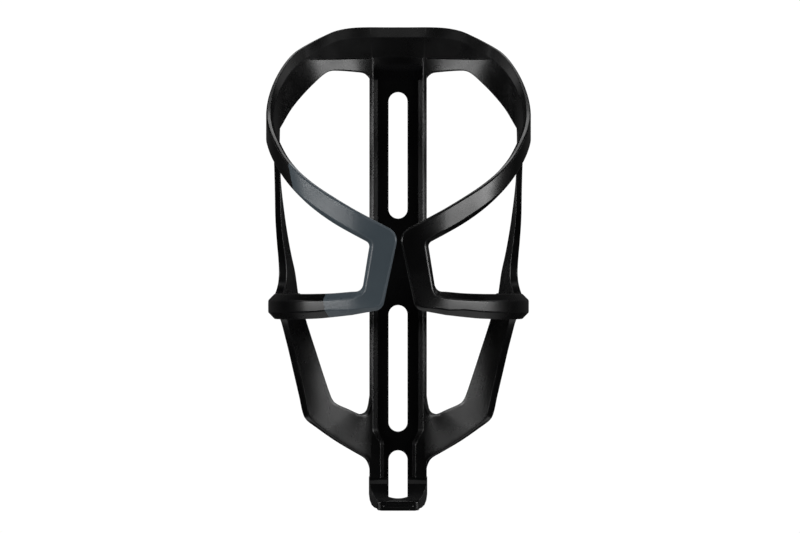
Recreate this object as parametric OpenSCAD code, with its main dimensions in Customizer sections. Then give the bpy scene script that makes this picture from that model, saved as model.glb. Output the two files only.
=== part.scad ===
// Side-gripping bottle cage for a bicycle, moulded in one piece.
// Origin: centre of the two-bolt pattern on the rear mounting face.
// +Y points at the bicycle frame, +Z up, -Y is the bottle side.

/* [Bottle] */
// Distance from the rear face forward to the axis of the bottle
axis_back = 41.5; // [40.5:0.1:42.5]
// Inner radius of the upper band
upper_inner = 36.4; // [36:0.1:37]
// Wall thickness of the upper band
upper_wall = 2.3; // [2:0.1:3]
// Inner radius of the lower band
lower_inner = 35.4; // [35:0.1:36]
// Wall thickness of the lower band
lower_wall = 2.7; // [2.2:0.1:3.2]

/* [Spine] */
// Half of the spine's width
spine_half = 8.6; // [8.2:0.1:9]
// Thickness of the channel floor
floor_t = 2.5; // [2:0.1:3]
// Depth of the spine over its rails
rail_depth = 5.8; // [5.4:0.1:6]
// Half of the channel's width at its floor
floor_half = 5.8; // [5.2:0.1:6.2]
// Half of the channel's width at the rail tops
mouth_half = 7.3; // [6.9:0.1:7.6]
// Height of the rail tops' upper end, where the collar's lead-in starts
crease_z = 61.5; // [60.5:0.1:62]
// Height of the collar's rim at the middle
rim_z = 70.5; // [70:0.1:71]
// Height of the lead-in bevel along the rim
rim_bevel = 3; // [2.5:0.1:3.5]

/* [Bolt slots] */
// Distance between the two bolts
bolt_pitch = 64; // [62:0.5:66]
// Length of each bolt slot, end to end
slot_len = 38; // [30:0.5:39]
// Width of each bolt slot
slot_w = 5.8; // [5.4:0.1:6]

/* [Toe] */
// Height where the channel ends and the toe begins
toe_z = -64.5; // [-65.5:0.1:-64]
// Height of the underside of the toe
sole_z = -73.9; // [-75:0.1:-73.5]
// Reach of the toe shelf forward of the rear face
shelf_reach = 17; // [15:0.5:19]
// Thickness of the toe shelf
shelf_t = 3; // [2.6:0.1:3.2]
// Half of the toe lip's width
lip_half = 6.3; // [6:0.1:6.6]
// Thickness of the toe lip, front to back
lip_t = 3; // [2.5:0.1:3.5]

/* [Arms] */
// Parting between each arm's root and the spine
root_gap = 0.1; // [0.08:0.01:0.15]
// Bevel along the window side of the upper band and the upright
window_bevel = 1.3; // [1:0.1:1.5]
// Bevel along both sides of the lower band
lower_bevel = 2; // [1.6:0.1:2.2]
// Angle between stations along a curved band, in degrees
station_step = 4; // [3:1:5]

/* [Hidden] */

black = [0.05, 0.05, 0.055];
slate = [0.27, 0.30, 0.33];

upper_outer = upper_inner + upper_wall;
lower_outer = lower_inner + lower_wall;
rib_inner = 35.8;
rib_outer = 37.9;
rib_edge = 0.3;
corner_bevel = 1.4;
// Depth of a band's bevels: window side of the upper band, and share of the lower band's height
window_depth = 1.1;
bevel_share = 0.95;
// Small break along the other edges of a band
edge_break = 0.4;
// Width of the rim's top face in front, where the lead-in is only front_lead high, and at the back
rim_face = 1.2;
rim_face_back = 0.4;
front_lead = 1;
// The collar stands out by collar_swell at the spine, and its lead-in is cut lead_cut deep there
collar_swell = 2.3;
collar_swell_end = 52;
lead_cut = 1.5;
lead_lean = 0.24;
crease_end_z = 60.2;
lip_h = 3.4;
lip_bevel = 0.9;
low_slot_z0 = -71.1;
low_slot_z1 = -56.6;
ring_end = [49.8, 55.2];
root_x = spine_half + root_gap;
// millimetres of arc per degree, at the middle of the wall
arc = PI / 180 * (upper_inner + upper_outer) / 2;

// Edges of the bands as [angle from the spine, height], in degrees and millimetres
band_top = [[0, 70.5], [18, 70.3], [28, 69.2], [36, 67.2], [44, 65], [50, 63.3], [54, 62],
    [60, 59.4], [70, 54.3], [80, 49], [90, 44], [100, 39.7], [110, 35.3], [120, 30.4],
    [130, 26.1], [140, 22.2], [150, 18.6], [160, 15]];
band_low = [[0, 50], [11, 53], [12.4, 54.8], [14.5, 56.3], [18, 56.8], [31, 57.1], [36, 56.3],
    [44, 52.7], [52, 48.9], [60, 45.1], [70, 40.2], [80, 36.9], [90, 34.3], [100, 31.6],
    [110, 27.7], [120, 23.3], [130, 19], [140, 14.8], [150, 11], [160, 7.6]];
ring_top = [[40, -9.3], [130, -9.3], [147, -9.1], [158, -8.6]];
ring_low = [[40, -16.7], [117, -16.7], [138, -16.4], [147, -16], [158, -15.3]];

// Corners of the front loop, and the radius of each
loop_outer = [[160, 15], [180, 8.1], [172.5, -13.7], [158, -15.3]];
loop_inner = [[160, 7.6], [167.2, 5.2], [163.3, -8.45], [158, -8.6]];
outer_radii = [4, 3];
inner_radii = [1.6, 2.6];
loop_start = 160;
loop_end = 158;

// Where the slate section starts on the upper and the lower band: [outer edge, window edge]
slate_top = [124.5, 129];
slate_low = [146.9, 144.6];

// Front and rear edges of the stay and of the strut
stay_front = [[79, 39.5], [75, 36], [72.5, 30], [71.4, 23], [70.8, 13.4], [69.1, 6.3],
    [67.6, 1.5], [66.9, -2.5], [67.6, -5.8], [70, -8.4], [74.5, -11]];
stay_rear = [[70, 42], [69, 36], [67, 30], [65.5, 23], [64, 13.4], [61.5, 6.3],
    [59.7, 1.5], [58, -2.5], [56.7, -5.8], [55.7, -8.4], [54.7, -11]];
// Inner radius of the stay's rear edge at the same places: it twists out of the wall
stay_rear_inner = [36.9, 37.4, 37.8, 38, 37.2, 36.8, 36.4, 36, 35.9, 35.9, 35.9];
strut_front = [[70, -14.2], [67, -16.6], [64.4, -18.9], [59.2, -25.7], [54.8, -32.9],
    [50.8, -40.1], [48.7, -44.5], [46.2, -47], [39.7, -49.6], [29.8, -53.4], [19.7, -57],
    [14.8, -58.9], [12.9, -60.8], [12.1, -63]];
strut_rear = [[51.8, -14.2], [50, -16.6], [48.3, -18.9], [43.4, -25.7], [38.6, -32.9],
    [35, -38.4], [33, -41], [30.5, -42.4], [24, -44.1], [18.7, -45.5], [15.3, -45.6],
    [13.4, -44.7], [12.2, -42.9], [11.2, -39.5]];

function mix(a, b, t) = a + (b - a) * t;
function clamp01(t) = min(1, max(0, t));
function ease(t) = let (u = clamp01(t)) u * u * (3 - 2 * u);

// Height of an edge at an angle, on a smooth curve through its points
function knot(table, i) = table[min(len(table) - 1, max(0, i))];
function span(table, phi, i = 0) =
    i >= len(table) - 2 || phi <= table[i + 1][0] ? i : span(table, phi, i + 1);
function slope(table, i) =
    let (a = knot(table, i - 1), b = knot(table, i + 1)) (b[1] - a[1]) / (b[0] - a[0]);
function height(table, phi) =
    let (
        i = span(table, phi), a = table[i], b = table[i + 1], w = b[0] - a[0],
        t = (phi - a[0]) / w
    )
    (2 * t * t * t - 3 * t * t + 1) * a[1] + (t * t * t - 2 * t * t + t) * w * slope(table, i)
    + (3 * t * t - 2 * t * t * t) * b[1] + (t * t * t - t * t) * w * slope(table, i + 1);

// A round of radius r in corner b of the path a-b-c, in the unrolled wall
function flat(p) = [p[0] * arc, p[1]];
function bend(p) = [p[0] / arc, p[1]];
function unit(v) = v / norm(v);
function round_corner(a, b, c, r, n = 6) =
    let (
        u = unit(flat(a) - flat(b)), v = unit(flat(c) - flat(b)),
        half = acos(u * v) / 2, m = flat(b) + unit(u + v) * r / sin(half),
        p = flat(b) + u * r / tan(half) - m, q = flat(b) + v * r / tan(half) - m,
        sweep = 180 - 2 * half
    )
    [for (k = [0:n]) let (t = k / n * sweep)
        bend(m + (p * sin(sweep - t) + q * sin(t)) / sin(sweep))];

// A point on the left-hand side, by radius and [angle, height]
function place(r, p) = [-r * sin(p[0]), r * cos(p[0]) - axis_back, p[1]];
// The point at distance d from a towards b, along the unrolled wall
function along(a, b, d) = mix(a, b, d / norm(flat(b) - flat(a)));

// Section of a band at one station: outer edge a, window edge b, wall from r0 to r1.
// bevel_a and bevel_b are [height, depth] of the outer face's two bevels.
// lead is [radius of the rim's inner edge, height of the rim's inner bevel].
// step is [radius above the crease, lean of the lead-in, distance of the crease from a].
function section(a, b, r0, r1, bevel_a, bevel_b, lead, step) =
    let (w = norm(flat(b) - flat(a)), lean = step[1] * (step[2] - lead[1])) [
        place(r1, along(a, b, bevel_a[0])),
        place(r1 - bevel_a[1], a),
        place(lead[0], a),
        place(step[0] + lean, along(a, b, lead[1])),
        place(step[0], along(a, b, step[2])),
        place(r0, along(a, b, step[2] + 0.3)),
        place(r0, b),
        place(r1 - bevel_b[1], b),
        place(r1, along(a, b, w - bevel_b[0]))
    ];

// The back of the collar swells towards the spine, and its lead-in is cut deeper there
function swell(phi) = 1 - ease(phi / collar_swell_end);
function upper_section(a, b) =
    let (
        phi = a[0], near = swell(phi), r1 = upper_outer + collar_swell * near,
        lead_h = mix(front_lead, rim_bevel, ease((100 - phi) / 50)),
        crease = mix(lead_h + edge_break, a[1] - mix(crease_z, crease_end_z, phi / collar_swell_end),
            clamp01((collar_swell_end - phi) / 6))
    )
    section(a, b, upper_inner, r1, [edge_break, edge_break], [window_bevel, window_depth],
        [r1 - mix(rim_face, rim_face_back, near), lead_h],
        [upper_inner + lead_cut * near, lead_lean, max(crease, lead_h + edge_break)]);
function upper_at(phi) = upper_section([phi, height(band_top, phi)], [phi, height(band_low, phi)]);
function upper_slant() =
    upper_section([slate_top[0], height(band_top, slate_top[0])],
        [slate_top[1], height(band_low, slate_top[1])]);

function lower_section(a, b, low_bevel) =
    section(a, b, lower_inner, lower_outer, [low_bevel, low_bevel * bevel_share],
        [lower_bevel, lower_bevel * bevel_share], [lower_inner + edge_break / 2, edge_break],
        [lower_inner, 0, 2 * edge_break]);
function low_bevel_at(phi) = mix(lower_bevel, corner_bevel, clamp01((phi - 150) / 8));
function lower_at(phi) =
    lower_section([phi, height(ring_low, phi)], [phi, height(ring_top, phi)], low_bevel_at(phi));
// The lower band ends flush with the rear edge of the side ribs
function lower_end() =
    lower_section([ring_end[0], height(ring_low, ring_end[0])],
        [ring_end[1], height(ring_top, ring_end[1])], lower_bevel);
function lower_slant() =
    lower_section([slate_low[0], height(ring_low, slate_low[0])],
        [slate_low[1], height(ring_top, slate_low[1])], lower_bevel);

// The upright: its edges run round two corners, and its wall steps from upper to lower radius
function loop_path(p, r) = concat([p[0]], round_corner(p[0], p[1], p[2], r[0]),
    round_corner(p[1], p[2], p[3], r[1]), [p[3]]);
outer_path = loop_path(loop_outer, outer_radii);
inner_path = loop_path(loop_inner, inner_radii);
function upright_section(a, b, t) =
    let (
        down = ease((6 - (a[1] + b[1]) / 2) / 14), early = ease(t * 3), late = ease((t - 0.6) / 0.4),
        r0 = mix(upper_inner, lower_inner, down), r1 = mix(upper_outer, lower_outer, down)
    )
    section(a, b, r0, r1, mix([edge_break, edge_break], [corner_bevel, corner_bevel * bevel_share], late),
        mix([window_bevel, window_depth], [lower_bevel, lower_bevel * bevel_share], late),
        [mix(r1 - rim_face, r0 + edge_break / 2, early), mix(front_lead, edge_break, early)],
        [r0, lead_lean * (1 - early), mix(front_lead + edge_break, 2 * edge_break, early)]);
upright_stations = [for (i = [0:len(outer_path) - 1])
    upright_section(outer_path[i], inner_path[i], i / (len(outer_path) - 1))];

// Section of a rib: front edge a and rear edge b, each with its own [inner, outer] radius
function rib_section(a, b, ra, rb) =
    let (edge = rib_edge / norm(flat(b) - flat(a)))
    concat(
        [place(ra[1] - rib_edge, a), place(ra[0] + rib_edge, a)],
        [for (t = [edge, 1 / 3, 2 / 3, 1]) place(mix(ra[0], rb[0], t), mix(a, b, t))],
        [place(rb[1] - rib_edge, b)],
        [for (t = [1 - edge, 2 / 3, 1 / 3, edge]) place(mix(ra[1], rb[1], t), mix(a, b, t))]
    );
stay_stations = [for (i = [0:len(stay_front) - 1])
    let (r = stay_rear_inner[i], up = ease((stay_front[i][1] + 6) / 20))
    rib_section(stay_front[i], stay_rear[i], [mix(rib_inner, 36.6, up), mix(rib_outer, 38.3, up)],
        [r, r + mix(rib_outer - rib_inner, 1.5, up)])];
strut_stations = [for (i = [0:len(strut_front) - 1])
    let (r = [rib_inner, rib_outer + 3 * (1 - ease(strut_front[i][0] / 40))])
    rib_section(strut_front[i], strut_rear[i], r, r)];

// Angles from first to last in equal steps of about station_step
function sweep_angles(first, last) =
    let (n = max(1, round(abs(last - first) / station_step)))
    [for (k = [0:n]) mix(first, last, k / n)];

// A closed solid through a list of sections
module loft(stations) {
    n = len(stations);
    m = len(stations[0]);
    walls = [for (i = [0:n - 2]) for (j = [0:m - 1])
        let (k = (j + 1) % m, p = i * m, q = (i + 1) * m)
        each [[p + j, p + k, q + k], [p + j, q + k, q + j]]];
    first_cap = [for (j = [m - 1:-1:0]) j];
    last_cap = [for (j = [0:m - 1]) (n - 1) * m + j];
    polyhedron([for (s = stations) each s], concat(walls, [first_cap], [last_cap]));
}

// Takes the spine and the parting gap out of an arm's root
module spine_clearance() translate([-root_x, -12, -90]) cube([2 * root_x, 24, 180]);

module slot_hole(z0, z1) {
    r = slot_w / 2;
    translate([-r, -20, z0 + r]) cube([slot_w, 40, z1 - z0 - slot_w]);
    for (z = [z0 + r, z1 - r])
        translate([0, 20, z]) rotate([90, 0, 0]) cylinder(h = 40, r = r, $fn = 64);
}

module spine_plate() color(black) difference() {
    translate([-floor_half, -floor_t, toe_z])
        cube([2 * floor_half, floor_t, crease_z - toe_z]);
    for (side = [-1, 1])
        slot_hole(side * bolt_pitch / 2 - slot_len / 2, side * bolt_pitch / 2 + slot_len / 2);
    slot_hole(low_slot_z0, low_slot_z1);
}

// The rails narrow the channel just above the toe: [height, share of the step]
jog = [[toe_z, 1], [-54.5, 1], [-50.5, 0], [crease_z, 0]];
function rail_ring(z, t) = [
    [-floor_half, 0, z], [-floor_half, -floor_t, z],
    [-mix(floor_half - 0.2, 4, t), -floor_t, z], [-mix(mouth_half, 5.1, t), -rail_depth + 0.1, z],
    [-spine_half, -rail_depth - 0.2, z], [-spine_half, 0, z]
];
module rail() color(black) loft([for (j = jog) rail_ring(j[0], j[1])]);

// Middle of the collar, from the crease up to the rim
module head_plate() color(black) translate([-spine_half, 0, 0]) rotate([90, 0, 90])
    linear_extrude(2 * spine_half)
        polygon([[0, crease_z], [-floor_t, crease_z], [-floor_t + 0.4, rim_z - rim_bevel],
            [-0.4, rim_z], [0, rim_z]]);

// Shelf under the bottle, joined to the spine by a hollow slope
module toe_shelf() color(black) difference() {
    intersection() {
        translate([-spine_half, 0, 0]) rotate([90, 0, 90]) linear_extrude(2 * spine_half)
            polygon([[0, toe_z], [-rail_depth, toe_z], [-rail_depth - 0.3, -67.4],
                [-rail_depth - 1.6, -69.6], [-rail_depth - 4, sole_z + shelf_t + 0.3],
                [-shelf_reach, sole_z + shelf_t], [-shelf_reach, sole_z], [-1.8, sole_z],
                [0, sole_z + 1.8]]);
        rotate([90, 0, 0]) linear_extrude(shelf_reach)
            polygon([[-spine_half, toe_z], [-spine_half, sole_z + 4.4], [-spine_half + 0.4, sole_z + 2.4],
                [-spine_half + 1.1, sole_z + 0.9], [-spine_half + 2.6, sole_z],
                [spine_half - 2.6, sole_z], [spine_half - 1.1, sole_z + 0.9],
                [spine_half - 0.4, sole_z + 2.4], [spine_half, sole_z + 4.4], [spine_half, toe_z]]);
        translate([0, 0, sole_z - 1]) linear_extrude(12)
            polygon([[-spine_half, 1], [spine_half, 1], [spine_half, -rail_depth],
                [lip_half, -shelf_reach], [-lip_half, -shelf_reach], [-spine_half, -rail_depth]]);
    }
    slot_hole(low_slot_z0, low_slot_z1);
}

// Rounded bar along the front of the shelf
module toe_lip() color(black) translate([0, -shelf_reach, sole_z]) rotate([90, 0, 0])
    linear_extrude(lip_t)
        polygon([[lip_bevel - lip_half, 0], [lip_half - lip_bevel, 0], [lip_half, lip_bevel],
            [lip_half, lip_h - lip_bevel], [lip_half - lip_bevel, lip_h],
            [lip_bevel - lip_half, lip_h], [-lip_half, lip_h - lip_bevel], [-lip_half, lip_bevel]]);

module collar() color(black) resize([0, 0, 0]) difference() {
    loft([for (phi = sweep_angles(8, 90)) upper_at(phi)]);
    spine_clearance();
}
module upper_band() color(black)
    loft(concat([for (phi = sweep_angles(90, slate_top[0] - 3)) upper_at(phi)], [upper_slant()]));
module front_band(tint) color(tint)
    loft(concat([upper_slant()], [for (phi = sweep_angles(slate_top[1] + 3, loop_start)) upper_at(phi)]));
module front_upright(tint) color(tint) loft(upright_stations);
module lower_accent() color(slate)
    loft(concat([for (phi = sweep_angles(loop_end, slate_low[0] + 3)) lower_at(phi)], [lower_slant()]));
module lower_band(slanted) color(black)
    loft(concat(slanted ? [lower_slant()] : [lower_at(loop_end)],
        [for (phi = sweep_angles((slanted ? slate_low[1] : loop_end) - 3, ring_end[1] + 4))
            lower_at(phi)],
        [lower_end()]));
// Rear stretch of the lower band, where the side ribs meet it
module ring_root()
    loft(concat([for (phi = sweep_angles(90, ring_end[1] + 4)) lower_at(phi)], [lower_end()]));
module stay() color(black) resize([0, 0, 0]) difference() {
    loft(stay_stations);
    loft([for (phi = sweep_angles(58, 90)) upper_at(phi)]);
    ring_root();
}
module strut() color(black) resize([0, 0, 0]) difference() {
    loft(strut_stations);
    ring_root();
    spine_clearance();
}
module on_right() mirror([1, 0, 0]) children();

spine_plate();
rail();  // left_rail
on_right() rail();  // right_rail
head_plate();
toe_shelf();
toe_lip();
collar();  // left_collar
upper_band();  // left_upper_band
front_band(slate);  // left_accent_band
front_upright(slate);  // left_front_upright
lower_accent();  // left_lower_accent
lower_band(true);  // left_lower_band
stay();  // left_stay
strut();  // left_strut
on_right() collar();  // right_collar
on_right() upper_band();  // right_upper_band
on_right() front_band(black);  // right_front_band
on_right() front_upright(black);  // right_front_upright
on_right() lower_band(false);  // right_lower_band
on_right() stay();  // right_stay
on_right() strut();  // right_strut
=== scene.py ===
"""Looks of a side-gripping bottle cage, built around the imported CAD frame.

The left side is x < 0. Lengths are millimetres until loft() and prism() turn them into metres,
and the studio is in metres. A place on a curved wall is a radius from the bottle's axis and a pair
(angle from the spine in degrees, height).
"""
import math

import bmesh
import bpy
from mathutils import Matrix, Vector


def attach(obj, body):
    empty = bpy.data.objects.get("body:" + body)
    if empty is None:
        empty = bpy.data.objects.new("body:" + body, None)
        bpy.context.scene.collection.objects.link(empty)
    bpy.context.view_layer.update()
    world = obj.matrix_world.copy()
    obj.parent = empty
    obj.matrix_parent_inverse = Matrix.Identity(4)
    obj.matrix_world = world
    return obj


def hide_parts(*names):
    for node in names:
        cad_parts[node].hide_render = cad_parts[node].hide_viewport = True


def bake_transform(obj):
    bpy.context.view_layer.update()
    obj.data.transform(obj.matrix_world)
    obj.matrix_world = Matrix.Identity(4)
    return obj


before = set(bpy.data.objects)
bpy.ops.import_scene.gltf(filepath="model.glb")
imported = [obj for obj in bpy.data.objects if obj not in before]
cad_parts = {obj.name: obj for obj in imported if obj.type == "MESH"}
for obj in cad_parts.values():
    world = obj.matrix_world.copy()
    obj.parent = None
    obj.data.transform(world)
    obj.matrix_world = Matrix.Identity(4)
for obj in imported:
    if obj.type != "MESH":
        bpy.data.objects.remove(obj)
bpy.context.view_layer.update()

MM = 0.001
LEFT, RIGHT = -1, 1
BODY = {LEFT: "left_arm", RIGHT: "right_arm"}
SIDE = {LEFT: "left", RIGHT: "right"}

# ---------------------------------------------------------------- sizes
AXIS_BACK = 41.5
UPPER_IN, UPPER_OUT = 36.4, 38.7
LOWER_IN, LOWER_OUT = 35.4, 38.1
RIB_IN, RIB_OUT = 35.8, 38.2
SPINE_HALF = 8.6
RAIL_TOP = 6.0
MOUTH_HALF = 7.3
NARROW_Z, NARROW_H = -50.2, 4.5  # where the channel starts to narrow, and over what height
NARROW_FOOT, NARROW_MOUTH = 4.2, 5.2
FLARE_Z, FLARE_H = 55.5, 6  # where the rail's wall starts to stand up under the head
TAPER_Z, TAPER_H, RAIL_TAPER = 56, 5.1, 1.5  # the same for its back, and how far that tapers
LEAN_LOW, LEAN_HIGH, LEAN_FADE = -42, 50, 6  # heights between which the rail's top leans more
RAIL_LEAN = 0.1
FLOOR_HALF = 6.0
FLOOR_T = 2.5
CREASE_Z = 61.5
CREASE_END_Z = 60.2
RIM_BEVEL = 3.0
FRONT_LEAD = 1.0
LEAD_FULL, LEAD_END = 50, 100  # angles between which the rim's bevel shrinks to FRONT_LEAD
CREASE_FADE = 6  # the crease rises into that bevel over this angle, before SWELL_END
COLLAR_SWELL = 2.3
SWELL_END = 52.0
LEAD_CUT = 1.5
LEAD_LEAN = 0.24
WINDOW_BEVEL, WINDOW_DEPTH = 1.3, 1.1
BAND_BEVEL = 1.8  # window bevel at its widest, on the front half of the upper band
WIDE_FROM, WIDE_FADE_IN, WIDE_FADE_OUT = 80, 20, 15  # where it widens, in degrees
LOWER_BEVEL = 2.0
CORNER_BEVEL = 1.4
THIN_FROM = 150  # angle from which the ring's low bevel shrinks to CORNER_BEVEL
BEVEL_SHARE = 0.95
EDGE_BREAK = 0.4
RIM_FACE, RIM_FACE_BACK = 1.2, 0.43
HEAD_HALF_ANGLE = 11.7
HEAD_LOW_Z, HEAD_BEND_Z = 54.4, 58.4
SLOT_R = 2.85
BOLT_HALF = 32.0
SLOT_HALF = 19.0
TOE_Z = -64.5
TOE_HALF = 8.75
TOE_SINK = 0.3  # how far the channel's floor and rails reach into the toe
SOLE_Z = -73.9
LOW_SLOT = (-71.1, -56.6)
SHELF_REACH, SHELF_HALF = 17.0, 6.0
LIP_HALF, LIP_T, LIP_H, LIP_ROUND = 6.3, 3.0, 2.9, 1.6
LIP_HOLLOW, LIP_INSET, LIP_EDGE = 0.35, 0.35, 0.75
ARC = math.pi / 180 * (UPPER_IN + UPPER_OUT) / 2

# Edges of the bands as (angle, height)
BAND_TOP = [(0, 70.5), (18, 70.3), (28, 69.2), (36, 67.2), (44, 65), (50, 63.3), (54, 62),
            (60, 59.4), (70, 54.3), (80, 49), (90, 44), (100, 39.7), (110, 35.3), (120, 30.4),
            (130, 26.1), (140, 22.2), (150, 18.6), (160, 15)]
BAND_LOW = [(0, 50), (11, 53), (12.4, 54.8), (14.5, 56.3), (18, 56.8), (31, 57.1), (36, 56.3),
            (44, 52.7), (52, 48.9), (60, 45.1), (70, 40.2), (80, 36.9), (90, 34.3), (100, 31.6),
            (110, 27.7), (120, 23.3), (130, 19), (140, 14.8), (150, 11), (160, 7.6)]
RING_TOP = [(40, -9.3), (130, -9.3), (147, -9.1), (158, -8.6)]
RING_LOW = [(40, -16.7), (117, -16.7), (138, -16.4), (147, -16), (158, -15.3)]
RING_END = (49.8, 55.2)

# Corners of the front loop, and the radius of each
LOOP_OUTER = [(160, 15), (180, 8.1), (172.5, -13.7), (158, -15.3)]
LOOP_INNER = [(160, 7.6), (167.2, 5.2), (163.3, -8.45), (158, -8.6)]
OUTER_RADII = (4, 3)
INNER_RADII = (1.6, 2.6)
LOOP_START, LOOP_END = 160, 158
TURN_Z, TURN_H = 6, 14  # where the upright's radii start to turn into the ring's

# Where the slate section starts: (outer edge, window edge)
SLATE_TOP = (124.5, 129)
SLATE_LOW = (146.9, 144.6)

# Stay: front edge, rear edge, and the rear edge's inner radius
STAY_FRONT = [(79, 39.5), (75, 36), (72.5, 30), (71.4, 23), (70.8, 13.4), (69.1, 6.3), (67.6, 1.5),
              (66.9, -2.5), (67.6, -5.8), (70, -8.4), (74.5, -11)]
STAY_REAR = [(70, 42), (69, 36), (67, 30), (65.5, 23), (64, 13.4), (61.5, 6.3), (59.7, 1.5),
             (58, -2.5), (56.7, -5.8), (55.7, -8.4), (54.7, -11)]
STAY_REAR_IN = [36.9, 37.4, 37.8, 38, 37.2, 36.8, 36.4, 36, 35.9, 35.9, 35.9]
STAY_LOW_Z, STAY_RISE = -6, 20  # its radii change over this height, above STAY_LOW_Z
STAY_TOP_IN, STAY_TOP_OUT = 36.6, 38.3
STAY_REAR_T, STAY_TOP_REAR_T = 2.1, 1.5
STAY_SKEW = 0.9  # shift of the front edge's outer corner, in degrees
STRUT_FRONT = [(70, -14.2), (67, -16.6), (64.4, -18.9), (59.2, -25.7), (54.8, -32.9),
               (50.8, -40.1), (48.7, -44.5), (46.2, -47), (39.7, -49.6), (29.8, -53.4),
               (19.7, -57), (14.8, -58.9), (12.9, -60.8), (12.1, -63)]
STRUT_REAR = [(51.8, -14.2), (50, -16.6), (48.3, -18.9), (43.4, -25.7), (38.6, -32.9),
              (35, -38.4), (33, -41), (30.5, -42.4), (24, -44.1), (18.7, -45.5), (15.6, -45.4),
              (13.9, -44.6), (13.0, -42.9), (12.3, -40)]
STRUT_ROOT_IN, STRUT_ROOT_SWELL = 36.36, 3


# ---------------------------------------------------------------- small maths
def mix(a, b, t):
    return a + (b - a) * t


def mix2(p, q, t):
    """mix() for pairs."""
    return (mix(p[0], q[0], t), mix(p[1], q[1], t))


def sweep(first, last, count):
    """Evenly spaced values from first to last, both included, with count steps."""
    return [mix(first, last, k / count) for k in range(count + 1)]


def clamp01(t):
    return min(1.0, max(0.0, t))


def ease(t):
    """Smooth step from 0 to 1."""
    u = clamp01(t)
    return u * u * (3 - 2 * u)


def height(table, phi):
    """Height of an edge at an angle, on a smooth curve through its points."""
    last = len(table) - 2
    i = next((k for k in range(last + 1) if phi <= table[k + 1][0]), last)
    a, b = table[i], table[i + 1]
    w = b[0] - a[0]
    t = (phi - a[0]) / w

    def slope(k):
        p, q = table[max(k - 1, 0)], table[min(k + 1, last + 1)]
        return (q[1] - p[1]) / (q[0] - p[0])

    rise = (2 * t**3 - 3 * t**2 + 1) * a[1] + (t**3 - 2 * t**2 + t) * w * slope(i)
    return rise + (3 * t**2 - 2 * t**3) * b[1] + (t**3 - t**2) * w * slope(i + 1)


def smooth_path(points, per_span):
    """A smooth curve through points of any dimension (Catmull-Rom)."""
    path = []
    for i in range(len(points) - 1):
        p0, p1 = points[max(i - 1, 0)], points[i]
        p2, p3 = points[i + 1], points[min(i + 2, len(points) - 1)]
        for k in range(per_span):
            t = k / per_span
            path.append(tuple(
                0.5 * (2 * b + (c - a) * t + (2 * a - 5 * b + 4 * c - d) * t**2
                       + (3 * b - a - 3 * c + d) * t**3)
                for a, b, c, d in zip(p0, p1, p2, p3)))
    return path + [tuple(points[-1])]


def flat(p):
    """An (angle, height) place in the unrolled wall."""
    return Vector((p[0] * ARC, p[1]))


def round_corner(a, b, c, r, steps):
    """A round of radius r in corner b of the path a-b-c, in the unrolled wall."""
    u, v = (flat(a) - flat(b)).normalized(), (flat(c) - flat(b)).normalized()
    half = u.angle(v) / 2
    centre = flat(b) + (u + v).normalized() * r / math.sin(half)
    p, q = flat(b) + u * r / math.tan(half) - centre, flat(b) + v * r / math.tan(half) - centre
    turn = math.pi - 2 * half
    arc = []
    for t in sweep(0, turn, steps):
        m = centre + (p * math.sin(turn - t) + q * math.sin(t)) / math.sin(turn)
        arc.append((m.x / ARC, m.y))
    return arc


def straight(a, b, steps):
    """Points after a and before b."""
    return [mix2(a, b, k / steps) for k in range(1, steps)]


def loop_path(corners, radii):
    """One edge of the front loop: four corners, of which the middle two are rounded."""
    first = round_corner(corners[0], corners[1], corners[2], radii[0], 14)
    second = round_corner(corners[1], corners[2], corners[3], radii[1], 14)
    return ([corners[0]] + straight(corners[0], first[0], 12) + first
            + straight(first[-1], second[0], 18) + second
            + straight(second[-1], corners[3], 8) + [corners[3]])


def along(a, b, d):
    """The place at distance d from a towards b, along the unrolled wall."""
    return mix2(a, b, d / (flat(b) - flat(a)).length)


def place(side, r, p):
    """The point at a radius and an (angle, height) place."""
    a = math.radians(p[0])
    return Vector((side * r * math.sin(a), r * math.cos(a) - AXIS_BACK, p[1]))


# ---------------------------------------------------------------- mesh tools
SOFT_STEPS = 3
MOST_SOFT = 0.45  # share of a side that the round of one corner may take
FACE_WEIGHT = 80
BEVEL_SEGMENTS = 3
HALF_TURN_STEPS = 32


def soften(ring, softs):
    """Rounds each corner of a closed ring of points over its own distance."""
    points = []
    for i, corner in enumerate(ring):
        u, v = ring[i - 1] - corner, ring[(i + 1) % len(ring)] - corner
        d = min(softs[i], MOST_SOFT * u.length, MOST_SOFT * v.length)
        p, q = corner + u.normalized() * d, corner + v.normalized() * d
        for k in range(SOFT_STEPS + 1):
            t = k / SOFT_STEPS
            points.append(p.lerp(corner, t).lerp(corner.lerp(q, t), t))
    return points


def finish_mesh(name, bm):
    """Turns a bmesh into an object of the scene."""
    bmesh.ops.recalc_face_normals(bm, faces=bm.faces)
    mesh = bpy.data.meshes.new(name)
    bm.to_mesh(mesh)
    bm.free()
    mesh.shade_smooth()
    piece = bpy.data.objects.new(name, mesh)
    bpy.context.scene.collection.objects.link(piece)
    return piece


def weigh_normals(piece):
    """Large faces keep their own direction, so that only the rounded edges between them turn."""
    modifier = piece.modifiers.new("weigh", "WEIGHTED_NORMAL")
    modifier.keep_sharp = True
    modifier.weight = FACE_WEIGHT


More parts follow.
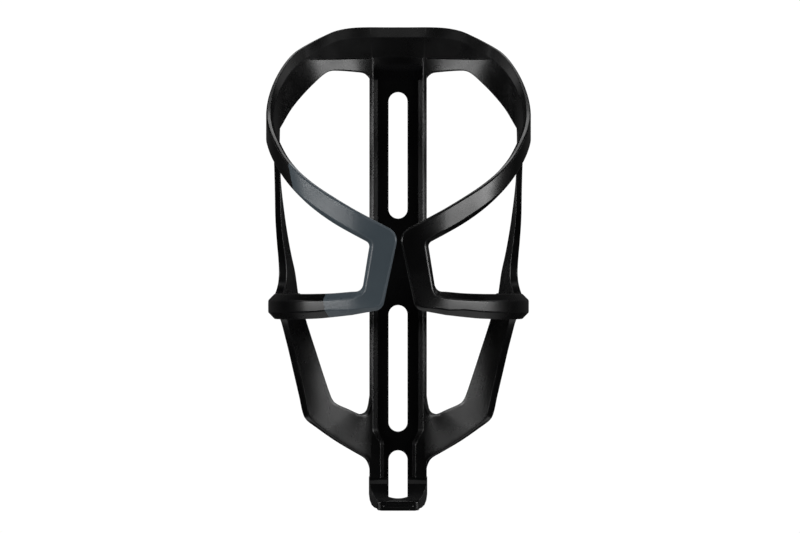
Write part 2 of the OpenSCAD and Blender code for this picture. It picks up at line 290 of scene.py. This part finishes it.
def loft(name, rings, worn_and_highlit=None):
    """A closed solid through rings from soften(). Its last argument lists the corners that are
    rubbed paler, as wear and as a painted highlight along the edges; None stands for all of them."""
    bm = bmesh.new()
    wear_and_edge_highlight = bm.verts.layers.float.new("wear_and_edge_highlight")
    rows = [[bm.verts.new(p * MM) for p in ring] for ring in rings]
    n = len(rows[0])
    for row in rows:
        # Rounded corners get a paler edge colour in the material: wear, and a painted highlight
        # along the edges.
        for j, vert in enumerate(row):
            corner, step = divmod(j, SOFT_STEPS + 1)
            if 0 < step < SOFT_STEPS and (worn_and_highlit is None or corner in worn_and_highlit):
                vert[wear_and_edge_highlight] = 1.0
    for low, high in zip(rows, rows[1:]):
        for j in range(n):
            bm.faces.new((low[j], low[(j + 1) % n], high[(j + 1) % n], high[j]))
    for row in (rows[0], rows[-1]):
        cap = bm.faces.new(row)
        for edge in cap.edges:
            edge.smooth = False
    piece = finish_mesh(name, bm)
    weigh_normals(piece)
    return piece


def prism(name, outline, axis, low, high):
    """An outline extruded along an axis (0 for X, 1 for Y) from low to high."""
    bm = bmesh.new()
    ends = []
    for level in (low, high):
        row = []
        for across, up in outline:
            corner = (level, across, up) if axis == 0 else (across, level, up)
            row.append(bm.verts.new(Vector(corner) * MM))
        ends.append(row)
        bm.faces.new(row)
    n = len(outline)
    for j in range(n):
        bm.faces.new((ends[0][j], ends[0][(j + 1) % n], ends[1][(j + 1) % n], ends[1][j]))
    return finish_mesh(name, bm)


def carve(piece, cutter, operation):
    """Applies a boolean with another object, which is used up."""
    modifier = piece.modifiers.new("carve", "BOOLEAN")
    modifier.operation = operation
    modifier.solver = "EXACT"
    modifier.object = cutter
    deps = bpy.context.evaluated_depsgraph_get()
    mesh = bpy.data.meshes.new_from_object(piece.evaluated_get(deps))
    piece.modifiers.clear()
    piece.data = mesh
    bpy.data.objects.remove(cutter)


def round_edges(piece, width, angle):
    """Rounds the edges where faces meet at more than an angle, in degrees."""
    modifier = piece.modifiers.new("round", "BEVEL")
    modifier.width = width * MM
    modifier.segments = BEVEL_SEGMENTS
    modifier.limit_method = "ANGLE"
    modifier.angle_limit = math.radians(angle)
    piece.data.shade_smooth()
    weigh_normals(piece)


def half_round(centre, start):
    """The round end of a slot as (x, z): half a turn from the angle start."""
    points = []
    for k in range(HALF_TURN_STEPS + 1):
        a = start + math.pi * k / HALF_TURN_STEPS
        points.append((SLOT_R * math.cos(a), centre + SLOT_R * math.sin(a)))
    return points


def slot_outline(z0, z1):
    """A slot with round ends between two heights."""
    return half_round(z1 - SLOT_R, 0) + half_round(z0 + SLOT_R, math.pi)


def low_slot_outline():
    """The lightening slot above the toe: round at the top, nearly square at the bottom."""
    z0, z1 = LOW_SLOT
    rise = 0.5
    bottom = [(x, z0 + rise * (x / SLOT_R)**2) for x in sweep(-SLOT_R, SLOT_R, 12)]
    return half_round(z1 - SLOT_R, 0) + bottom


# ---------------------------------------------------------------- sections
# Distance over which each corner of a section is rounded
BAND_SOFTS = (0.3, 0.18, 0.18, 0.2, 0.12, 0.12, 0.35, 0.3, 0.35)
HEAD_SOFTS = (0.3, 0.18, 0.18, 0.2, 0.12, 1.8, 0.1, 0.1)
RAIL_SOFTS = (0.05, 0.05, 0.3, 0.2, 0.25, 0.6)
LIP_SOFTS = (0.1, 0.6, 0.3, 0.5, 0.3, 0.7, 0.6)
STEP_H = 0.3  # height of the step from the lead-in to the wall
ROOT_ROUND, ROOT_ROUND_ARC = 0.35, 0.55  # round of the wall by the channel, and its angle


def band_section(side, a, b, r0, r1, bevel_a, bevel_b, lead, step):
    """Section of a band: outer edge a, window edge b, wall from radius r0 to r1, as in the CAD.
    The bevels are (width, depth), lead is the rim's (inner radius, bevel height), and step is
    the lead-in's (radius at its foot, lean, height of a over its foot)."""
    (wide_a, deep_a), (wide_b, deep_b) = bevel_a, bevel_b
    (rim_r, rim_h), (foot_r, lean, foot_h) = lead, step
    ring = [
        place(side, r1, along(a, b, wide_a)),
        place(side, r1 - deep_a, a),
        place(side, rim_r, a),
        place(side, foot_r + lean * (foot_h - rim_h), along(a, b, rim_h)),
        place(side, foot_r, along(a, b, foot_h)),
        place(side, r0, along(a, b, foot_h + STEP_H)),
        place(side, r0, b),
        place(side, r1 - deep_b, b),
        place(side, r1, along(a, b, (flat(b) - flat(a)).length - wide_b)),
    ]
    return soften(ring, BAND_SOFTS)


def swell(phi):
    """Share of the collar's extra depth: all of it in the middle, none from SWELL_END on."""
    return 1 - ease(abs(phi) / SWELL_END)


def upper_sizes(phi, top):
    """Outer radius, rim's inner radius, height of its bevel, radius and height of the crease."""
    near = swell(phi)
    r1 = UPPER_OUT + COLLAR_SWELL * near
    lead_h = mix(FRONT_LEAD, RIM_BEVEL, ease((LEAD_END - phi) / (LEAD_END - LEAD_FULL)))
    drop = top - mix(CREASE_Z, CREASE_END_Z, phi / SWELL_END)
    crease = mix(lead_h + EDGE_BREAK, drop, clamp01((SWELL_END - phi) / CREASE_FADE))
    return (r1, r1 - mix(RIM_FACE, RIM_FACE_BACK, near), lead_h, UPPER_IN + LEAD_CUT * near,
            max(crease, lead_h + EDGE_BREAK))


def start_round(phi):
    """The wall's inner face rounds off over the last fraction of a millimetre by the channel."""
    t = clamp01((phi - HEAD_HALF_ANGLE) / ROOT_ROUND_ARC)
    return ROOT_ROUND * (1 - math.sqrt(1 - (1 - t)**2))


def upper_section(side, phi_a, phi_b):
    """Section of the upper band, from an angle on its top edge to one on its window edge."""
    a, b = (phi_a, height(BAND_TOP, phi_a)), (phi_b, height(BAND_LOW, phi_b))
    r1, rim, lead_h, step_r, crease = upper_sizes(phi_a, a[1])
    wide = ease((phi_b - WIDE_FROM) / WIDE_FADE_IN) * ease((LOOP_START - phi_b) / WIDE_FADE_OUT)
    bevel = mix(WINDOW_BEVEL, BAND_BEVEL, wide)
    return band_section(side, a, b, UPPER_IN + start_round(phi_a), r1, (EDGE_BREAK, EDGE_BREAK),
                        (bevel, WINDOW_DEPTH), (rim, lead_h), (step_r, LEAD_LEAN, crease))


def lower_section(side, phi_a, phi_b):
    """Section of the ring, from an angle on its low edge to one on its top edge."""
    a, b = (phi_a, height(RING_LOW, phi_a)), (phi_b, height(RING_TOP, phi_b))
    low = mix(LOWER_BEVEL, CORNER_BEVEL, clamp01((phi_a - THIN_FROM) / (LOOP_END - THIN_FROM)))
    return band_section(side, a, b, LOWER_IN, LOWER_OUT, (low, low * BEVEL_SHARE),
                        (LOWER_BEVEL, LOWER_BEVEL * BEVEL_SHARE),
                        (LOWER_IN + EDGE_BREAK / 2, EDGE_BREAK), (LOWER_IN, 0, 2 * EDGE_BREAK))


def upright_section(side, a, b, t):
    """Turns the upper band's section into the lower band's: radii by height, edges by share t."""
    down = ease((TURN_Z - (a[1] + b[1]) / 2) / TURN_H)
    early, late = ease(t / 0.33), ease((t - 0.55) / 0.45)
    r0, r1 = mix(UPPER_IN, LOWER_IN, down), mix(UPPER_OUT, LOWER_OUT, down)
    corner = (CORNER_BEVEL, CORNER_BEVEL * BEVEL_SHARE)
    lower = (LOWER_BEVEL, LOWER_BEVEL * BEVEL_SHARE)
    return band_section(
        side, a, b, r0, r1, mix2((EDGE_BREAK, EDGE_BREAK), corner, late),
        mix2((WINDOW_BEVEL, WINDOW_DEPTH), lower, late),
        (mix(r1 - RIM_FACE, r0 + EDGE_BREAK / 2, early), mix(FRONT_LEAD, EDGE_BREAK, early)),
        (r0, LEAD_LEAN * (1 - early), mix(FRONT_LEAD + EDGE_BREAK, 2 * EDGE_BREAK, early)))


RIB_ACROSS, RIB_STEPS = 8, 7
RIB_SOFT, BEND_SOFT = 0.4, 0.02
RIB_CORNERS = (0, RIB_ACROSS, RIB_ACROSS + 1, 2 * RIB_ACROSS + 1)


def rib_section(side, a, b, ra, rb, skew=0):
    """Section of a rib: front edge a and rear edge b, each with its own (inner, outer) radius.
    skew moves the outer corner of the front edge on, in degrees."""
    shares = sweep(0, 1, RIB_ACROSS)
    inner = [place(side, mix(ra[0], rb[0], t), mix2(a, b, t)) for t in shares]
    outer = [place(side, mix(ra[1], rb[1], t), mix2((a[0] + skew, a[1]), b, t))
             for t in reversed(shares)]
    softs = [RIB_SOFT] + [BEND_SOFT] * (RIB_ACROSS - 1) + [RIB_SOFT]
    return soften(inner + outer, softs + softs)


# ---------------------------------------------------------------- arms
def collar_wall(name, side):
    """Wall from the channel to 90 degrees, with close rings where its inner face rounds off."""
    start = [HEAD_HALF_ANGLE + ROOT_ROUND_ARC * k / 5 for k in range(5)]
    angles = start + sweep(HEAD_HALF_ANGLE + ROOT_ROUND_ARC, 90, 64)
    return loft(name, [upper_section(side, phi, phi) for phi in angles])


def stretch(name, section, side, a, b, count):
    """A stretch of a band: a and b are the (first, last) angles of its two edges."""
    return loft(name, [section(side, p, q) for p, q in zip(sweep(*a, count), sweep(*b, count))])


def upright(name, side):
    """Front of the loop, from the upper band round two corners to the lower band."""
    outer, inner = loop_path(LOOP_OUTER, OUTER_RADII), loop_path(LOOP_INNER, INNER_RADII)
    last = len(outer) - 1
    return loft(name, [upright_section(side, outer[i], inner[i], i / last)
                       for i in range(last + 1)])


def stay(name, side):
    """Slim rib from the upper band down into the ring."""
    rows = [f + r + (radius,) for f, r, radius in zip(STAY_FRONT, STAY_REAR, STAY_REAR_IN)]
    rings = []
    for front_a, front_z, rear_a, rear_z, radius in smooth_path(rows, RIB_STEPS):
        up = ease((front_z - STAY_LOW_Z) / STAY_RISE)
        front_radii = (mix(RIB_IN, STAY_TOP_IN, up), mix(RIB_OUT, STAY_TOP_OUT, up))
        rear_radii = (radius, radius + mix(STAY_REAR_T, STAY_TOP_REAR_T, up))
        rings.append(rib_section(side, (front_a, front_z), (rear_a, rear_z), front_radii,
                                 rear_radii, STAY_SKEW))
    return loft(name, rings, RIB_CORNERS)


def strut(name, side):
    """Broad rib from the ring down to the channel, thicker outwards at its root."""
    rows = [f + r for f, r in zip(STRUT_FRONT, STRUT_REAR)]
    rings = []
    for front_a, front_z, rear_a, rear_z in smooth_path(rows, RIB_STEPS):
        inner = mix(STRUT_ROOT_IN, RIB_IN, ease((front_a - 12) / 26))
        outer = mix(RIB_OUT + STRUT_ROOT_SWELL, RIB_OUT, ease(front_a / 40))
        radii = (inner, outer)
        rings.append(rib_section(side, (front_a, front_z), (rear_a, rear_z), radii, radii))
    return loft(name, rings, RIB_CORNERS)


# ---------------------------------------------------------------- spine
def rail_ring(side, z):
    """Section of a rail. Above the toe it steps in and narrows the channel; under the head its
    wall stands up and its back tapers away. Its top leans out a little, more so in the middle."""
    step = (NARROW_Z - z) / NARROW_H
    narrow = mix(clamp01(step), ease(step), 0.5)
    flare = ease((z - FLARE_Z) / FLARE_H)
    foot = mix(mix(FLOOR_HALF, NARROW_FOOT, narrow), MOUTH_HALF - 0.15, flare)
    mouth = mix(MOUTH_HALF + 0.1, NARROW_MOUTH, narrow)
    lean = RAIL_LEAN * ease((LEAN_HIGH - z) / LEAN_FADE) * ease((z - LEAN_LOW) / LEAN_FADE)
    back = -RAIL_TAPER * ease((z - TAPER_Z) / TAPER_H)
    floor_y = -FLOOR_T + 0.1
    ring = [(foot - 0.4, 0.7 * back), (foot - 0.4, floor_y), (foot, floor_y),
            (mouth, -RAIL_TOP + 0.22), (SPINE_HALF, -RAIL_TOP - 0.1 - lean), (SPINE_HALF, back)]
    return soften([Vector((side * x, y, z)) for x, y in ring], RAIL_SOFTS)


def rail(name, side):
    """Raised edge of the channel, with close rings where its section changes."""
    levels = ([TOE_Z - TOE_SINK] + sweep(-55, -50, 12) + sweep(-45, 50, 20)
              + sweep(55, CREASE_Z - 0.4, 12))
    return loft(name, [rail_ring(side, z) for z in levels])


def head(name):
    """Middle of the collar: the lead-in face runs down into the channel floor."""
    rings = []
    for phi in sweep(-HEAD_HALF_ANGLE, HEAD_HALF_ANGLE, 16):
        top = height(BAND_TOP, abs(phi))
        r1, rim, lead_h, step_r, crease = upper_sizes(abs(phi), top)
        lean = LEAD_LEAN * (crease - lead_h)
        floor_r = (AXIS_BACK - FLOOR_T + 0.06) / math.cos(math.radians(phi))
        ring = [(r1, top - EDGE_BREAK), (r1 - EDGE_BREAK, top), (rim, top),
                (step_r + lean, top - lead_h), (step_r, top - crease), (step_r, HEAD_BEND_Z),
                (floor_r, HEAD_LOW_Z), (r1, HEAD_LOW_Z)]
        rings.append(soften([place(RIGHT, r, (phi, z)) for r, z in ring], HEAD_SOFTS))
    return loft(name, rings)


def spine_plate(name):
    """Channel floor with its two bolt slots and the lightening slot."""
    low, high = TOE_Z - TOE_SINK, 58
    outline = [(-FLOOR_HALF, low), (-FLOOR_HALF, high), (FLOOR_HALF, high), (FLOOR_HALF, low)]
    piece = prism(name, outline, 1, -FLOOR_T, 0)
    for outline in (slot_outline(BOLT_HALF - SLOT_HALF, BOLT_HALF + SLOT_HALF),
                    slot_outline(-BOLT_HALF - SLOT_HALF, -BOLT_HALF + SLOT_HALF),
                    low_slot_outline()):
        carve(piece, prism("slot", outline, 1, -20, 20), "DIFFERENCE")
    round_edges(piece, 0.22, 28)
    return piece


def cut_corner(piece, corners):
    """Cuts away what lies in front of the plane through three points, and closes the cut."""
    p, q, r = (Vector(c) * MM for c in corners)
    normal = (q - p).cross(r - p).normalized()
    if normal.y > 0:
        normal = -normal
    bm = bmesh.new()
    bm.from_mesh(piece.data)
    cut = bmesh.ops.bisect_plane(bm, geom=bm.verts[:] + bm.edges[:] + bm.faces[:], plane_co=p,
                                 plane_no=normal, clear_outer=True)
    rim = [e for e in cut["geom_cut"] if isinstance(e, bmesh.types.BMEdge)]
    bmesh.ops.contextual_create(bm, geom=rim)
    bmesh.ops.recalc_face_normals(bm, faces=bm.faces)
    bm.to_mesh(piece.data)
    bm.free()


def toe_shelf(name):
    """Upright toe with its lower corners cut away, and the shelf that reaches out of it."""
    profile = [(0, TOE_Z), (-5.3, TOE_Z), (-5.35, TOE_Z - 0.8), (-5.95, TOE_Z - 2),
               (-6.1, -67.8), (-6.6, -69.6), (-7.4, -71.4), (-7.4, SOLE_Z), (-1.8, SOLE_Z),
               (0, SOLE_Z + 1.8)]
    piece = prism(name, profile, 0, -TOE_HALF, TOE_HALF)
    for side in (LEFT, RIGHT):
        cut_corner(piece, [(side * 8.5, -5.95, -67), (side * 6.3, -7.3, -72),
                           (side * 8.6, -5.4, -72)])
    shelf_front = -SHELF_REACH - 0.2
    shelf_profile = [(-5, -71.3), (shelf_front, -71.2), (shelf_front, SOLE_Z), (-5, SOLE_Z)]
    carve(piece, prism("shelf", shelf_profile, 0, -SHELF_HALF, SHELF_HALF), "UNION")
    # Lower corners of the front view, as (distance in from the side, height over the sole)
    corner = [(0, 4.3), (0.25, 2.5), (0.8, 1.1), (1.65, 0.3), (2.5, 0)]
    half = [(TOE_HALF, TOE_Z + 1)] + [(TOE_HALF - x, SOLE_Z + z) for x, z in corner]
    front = half + [(-x, z) for x, z in reversed(half)]
    carve(piece, prism("front", front, 1, -40, 10), "INTERSECT")
    carve(piece, prism("slot", low_slot_outline(), 1, -40, 20), "DIFFERENCE")
    round_edges(piece, 0.25, 18)
    return piece


def toe_lip(name):
    """Rounded bar along the front of the shelf, slightly hollow in front."""
    rings = []
    for x in sweep(-LIP_HALF, LIP_HALF, 56):
        end = clamp01((abs(x) - LIP_HALF + LIP_ROUND) / LIP_ROUND)
        hollow = LIP_HOLLOW * ease((LIP_HALF - LIP_ROUND - abs(x)) / 0.7)
        inset = LIP_INSET * end**2
        back_y = -SHELF_REACH + 0.1
        front_y = -SHELF_REACH - LIP_T + 1.3 * (1 - math.sqrt(1 - 0.96 * end**2))
        z0, z1 = SOLE_Z + inset, SOLE_Z + LIP_H - inset
        ring = [(back_y, z0), (front_y, z0), (front_y, z0 + LIP_EDGE),
                (front_y + hollow, (z0 + z1) / 2), (front_y, z1 - LIP_EDGE), (front_y, z1),
                (back_y, z1)]
        rings.append(soften([Vector((x, y, z)) for y, z in ring], LIP_SOFTS))
    return loft(name, rings)


# ---------------------------------------------------------------- materials
def add(nodes, kind, **inputs):
    """A new node with values for some of its inputs, an underscore standing for a space."""
    node = nodes.new(kind)
    for key, value in inputs.items():
        node.inputs[key.replace("_", " ")].default_value = value
    return node


def moulded_plastic(name, dark, light, worn_and_highlit, roughness):
    """Satin moulded nylon: fine grain, cloudy flow marks, edges rubbed a little paler as wear and
    as a painted edge highlight.
    """
    material = bpy.data.materials.new(name)
    material.use_nodes = True
    nodes, links = material.node_tree.nodes, material.node_tree.links
    shader = nodes["Principled BSDF"]
    shader.inputs["IOR"].default_value = 1.5
    coords = nodes.new("ShaderNodeTexCoord")

    clouds = add(nodes, "ShaderNodeTexNoise", Scale=90.0, Detail=4.0, Roughness=0.55)
    grain = add(nodes, "ShaderNodeTexNoise", Scale=5200.0, Detail=2.0, Roughness=0.6)
    pits = add(nodes, "ShaderNodeTexNoise", Scale=1500.0, Detail=3.0, Roughness=0.5)
    for texture in (clouds, grain, pits):
        links.new(coords.outputs["Object"], texture.inputs["Vector"])

    tone = nodes.new("ShaderNodeMix")
    tone.data_type = "RGBA"
    tone.inputs["A"].default_value = (*dark, 1)
    tone.inputs["B"].default_value = (*light, 1)
    links.new(clouds.outputs["Fac"], tone.inputs["Factor"])

    # Edges rubbed paler: partly wear, partly a painted highlight along the edges.
    edge = nodes.new("ShaderNodeAttribute")
    edge.attribute_name = "wear_and_edge_highlight"
    rub_and_highlight = nodes.new("ShaderNodeMath")
    rub_and_highlight.operation = "MULTIPLY"
    links.new(edge.outputs["Fac"], rub_and_highlight.inputs[0])
    links.new(clouds.outputs["Fac"], rub_and_highlight.inputs[1])
    colour = nodes.new("ShaderNodeMix")
    colour.data_type = "RGBA"
    colour.inputs["B"].default_value = (*worn_and_highlit, 1)
    links.new(tone.outputs["Result"], colour.inputs["A"])
    links.new(rub_and_highlight.outputs["Value"], colour.inputs["Factor"])
    links.new(colour.outputs["Result"], shader.inputs["Base Color"])

    sheen = add(nodes, "ShaderNodeMapRange", From_Min=0.3, From_Max=0.7,
                To_Min=roughness - 0.05, To_Max=roughness + 0.05)
    links.new(clouds.outputs["Fac"], sheen.inputs["Value"])
    links.new(sheen.outputs["Result"], shader.inputs["Roughness"])

    skin = nodes.new("ShaderNodeMath")
    skin.operation = "ADD"
    links.new(grain.outputs["Fac"], skin.inputs[0])
    links.new(pits.outputs["Fac"], skin.inputs[1])
    bump = add(nodes, "ShaderNodeBump", Strength=0.025, Distance=0.00002)
    links.new(skin.outputs["Value"], bump.inputs["Height"])
    links.new(bump.outputs["Normal"], shader.inputs["Normal"])
    return material


# The third colour is the rubbed edge: wear, and partly a painted edge highlight.
black = moulded_plastic("satin_black", (0.0022, 0.0022, 0.0024), (0.0042, 0.0042, 0.0045),
                        (0.014, 0.014, 0.015), 0.27)
slate = moulded_plastic("satin_slate", (0.111, 0.143, 0.168), (0.126, 0.163, 0.191),
                        (0.20, 0.23, 0.26), 0.30)


# ---------------------------------------------------------------- pieces
def dress(piece, node, body, tint=black):
    """Material, slot, CAD node and body of a piece; no body for a root, which bend_at_root()
    dresses.
    """
    piece.data.materials.clear()
    piece.data.materials.append(tint)
    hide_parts(node)
    if body:
        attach(piece, body)


def bend_at_root(piece, node):
    """The root joins spine and arm in one moulding; it gets no body, and its transform is baked
    into its mesh.
    """
    dress(piece, node, None)
    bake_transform(piece)


def build_spine():
    """Everything that stays with the bicycle frame."""
    dress(spine_plate("channel_floor"), "spine_plate", "spine")
    for side in (LEFT, RIGHT):
        dress(rail(SIDE[side] + "_channel_rail", side), SIDE[side] + "_rail", "spine")
    dress(head("collar_head"), "head_plate", "spine")
    dress(toe_shelf("toe_ledge"), "toe_shelf", "spine")
    dress(toe_lip("toe_bar"), "toe_lip", "spine")


def build_arm(side):
    """One arm, from its roots to the front. Only the left one has a slate section."""
    label, body = SIDE[side], BODY[side]
    front_tint = slate if side == LEFT else black
    front_node = "left_accent_band" if side == LEFT else "right_front_band"
    bend_at_root(collar_wall(label + "_collar_wall", side), label + "_collar")
    bend_at_root(strut(label + "_side_strut", side), label + "_strut")
    dress(stretch(label + "_band", upper_section, side, (90, SLATE_TOP[0]), (90, SLATE_TOP[1]),
                  count=30), label + "_upper_band", body)
    dress(stretch(label + "_band_front", upper_section, side, (SLATE_TOP[0], LOOP_START),
                  (SLATE_TOP[1], LOOP_START), count=28), front_node, body, front_tint)
    dress(upright(label + "_upright", side), label + "_front_upright", body, front_tint)
    ring_start = (LOOP_END, LOOP_END)
    if side == LEFT:
        ring_start = SLATE_LOW
        dress(stretch("left_ring_front", lower_section, side, (LOOP_END, SLATE_LOW[0]),
                      (LOOP_END, SLATE_LOW[1]), count=10), "left_lower_accent", body, slate)
    dress(stretch(label + "_ring", lower_section, side, (ring_start[0], RING_END[0]),
                  (ring_start[1], RING_END[1]), count=84), label + "_lower_band", body)
    dress(stay(label + "_side_stay", side), label + "_stay", body)


build_spine()
for arm_side in (LEFT, RIGHT):
    build_arm(arm_side)


# ---------------------------------------------------------------- studio, in metres
FLOOR_RADIUS, FLOOR_Z = 1.3, -0.26


def studio_world():
    """A white room for the eye; the object itself mirrors a dark one with a dim glow behind."""
    world = bpy.data.worlds.new("studio")
    bpy.context.scene.world = world
    world.use_nodes = True
    nodes, links = world.node_tree.nodes, world.node_tree.links
    nodes.clear()
    out = nodes.new("ShaderNodeOutputWorld")
    seen = add(nodes, "ShaderNodeBackground", Color=(1.02, 1.02, 1.02, 1), Strength=1.0)
    glow = add(nodes, "ShaderNodeBackground", Color=(1, 1, 1, 1))
    direction = nodes.new("ShaderNodeTexCoord")
    parts = nodes.new("ShaderNodeSeparateXYZ")
    back = add(nodes, "ShaderNodeMapRange", From_Min=0.5, From_Max=0.95, To_Min=0.01, To_Max=0.05)
    rays = nodes.new("ShaderNodeLightPath")
    choose = nodes.new("ShaderNodeMixShader")
    links.new(direction.outputs["Generated"], parts.inputs["Vector"])
    links.new(parts.outputs["Y"], back.inputs["Value"])
    links.new(back.outputs["Result"], glow.inputs["Strength"])
    links.new(rays.outputs["Is Camera Ray"], choose.inputs["Fac"])
    links.new(glow.outputs["Background"], choose.inputs[1])
    links.new(seen.outputs["Background"], choose.inputs[2])
    links.new(choose.outputs["Shader"], out.inputs["Surface"])


def floor():
    """A disc that looks like white paper, and that the object sees as dark."""
    bm = bmesh.new()
    bmesh.ops.create_circle(bm, cap_ends=True, segments=96, radius=FLOOR_RADIUS)
    piece = finish_mesh("floor", bm)
    piece.location = (0, 0, FLOOR_Z)
    material = bpy.data.materials.new("paper_floor")
    material.use_nodes = True
    nodes, links = material.node_tree.nodes, material.node_tree.links
    nodes.clear()
    out = nodes.new("ShaderNodeOutputMaterial")
    dark = add(nodes, "ShaderNodeBsdfDiffuse", Color=(0.02, 0.02, 0.02, 1))
    paper = add(nodes, "ShaderNodeEmission", Color=(1, 1, 1, 1), Strength=1.0)
    rays = nodes.new("ShaderNodeLightPath")
    choose = nodes.new("ShaderNodeMixShader")
    links.new(rays.outputs["Is Camera Ray"], choose.inputs["Fac"])
    links.new(dark.outputs["BSDF"], choose.inputs[1])
    links.new(paper.outputs["Emission"], choose.inputs[2])
    links.new(choose.outputs["Shader"], out.inputs["Surface"])
    piece.data.materials.append(material)


def softbox(name, direction, distance, width, tall, radiance):
    """An area light of a given radiance, facing the origin and hidden from the camera."""
    data = bpy.data.lights.new(name, "AREA")
    data.shape = "RECTANGLE"
    data.size, data.size_y = width, tall
    data.energy = radiance * math.pi * width * tall
    light = bpy.data.objects.new(name, data)
    light.location = Vector(direction).normalized() * distance
    light.rotation_euler = Vector(direction).to_track_quat("Z", "Y").to_euler()
    light.visible_camera = False
    bpy.context.scene.collection.objects.link(light)


def bearing(azimuth, elevation):
    """Direction at an azimuth from the camera's side (-Y) towards +X, and an elevation."""
    a, e = math.radians(azimuth), math.radians(elevation)
    return (math.sin(a) * math.cos(e), -math.cos(a) * math.cos(e), math.sin(e))


def studio_lights():
    """A long low key on each side, dim lights over the rims, and a card under the toe."""
    softbox("left_key", bearing(-64, 4.4), 1.2, 1.1, 0.17, 8.5)
    softbox("right_key", bearing(63, 4.5), 1.2, 1.12, 0.17, 10.0)
    softbox("top_back", (0, 0.5, 0.8), 1.2, 0.8, 0.5, 2.5)
    softbox("top_front", bearing(0, 50), 1.3, 1.0, 0.35, 0.5)
    softbox("under_card", (0, 0.05, -1), 0.25, 0.4, 0.3, 0.55)
    for side in (LEFT, RIGHT):
        softbox(SIDE[side] + "_top", bearing(side * 58, 49), 1.3, 1.0, 0.25, 0.75)
        softbox(SIDE[side] + "_top_side", bearing(side * 104, 32), 1.3, 0.4, 0.25, 1.0)


def camera():
    """Level view from the bottle side, 1.5 m away."""
    distance, off_x, off_z = 1.5, -0.005, -0.0014
    frame_width, frame_x = 0.24056, 0.0006
    data = bpy.data.cameras.new("camera")
    data.sensor_width = 36
    data.lens = data.sensor_width * distance / frame_width
    data.shift_x = (frame_x - off_x) / frame_width
    view = bpy.data.objects.new("camera", data)
    view.location = (off_x, -distance, off_z)
    view.rotation_euler = (math.radians(90), 0, 0)
    bpy.context.scene.collection.objects.link(view)
    bpy.context.scene.camera = view


bpy.context.scene.view_settings.view_transform = "Standard"
studio_world()
floor()
studio_lights()
camera()

bpy.context.view_layer.update()
